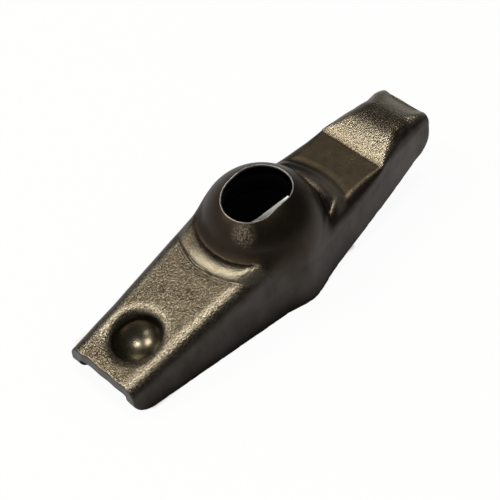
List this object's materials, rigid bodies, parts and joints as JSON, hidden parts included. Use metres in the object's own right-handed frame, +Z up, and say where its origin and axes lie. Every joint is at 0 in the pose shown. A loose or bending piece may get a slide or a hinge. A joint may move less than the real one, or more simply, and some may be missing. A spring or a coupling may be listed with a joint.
{
  "type": "stamped rocker arm",
  "caption": "Pressed sheet steel rocker arm with a slotted ball-pivot dome between two channel arms, a pushrod cup at one end and a curved valve pad at the other.",
  "frame": {"origin": "centre of the pivot ball that the dome turns on", "axes": "+X towards the valve pad, level; +Y across the arm; +Z up, with the lower edges of the pushrod arm level, as the piece rests; the stud axis leans 7.9 degrees from Z towards -X"},
  "size_m": [0.0656, 0.02, 0.0181],
  "materials": {
    "pressed_steel": "dark tumbled and oiled steel, grainy on the tops of the arms, smoother on the dome and walls"
  },
  "bodies": {
    "root": {"rocker_arm": "pressed_steel"}
  },
  "joints": []
}
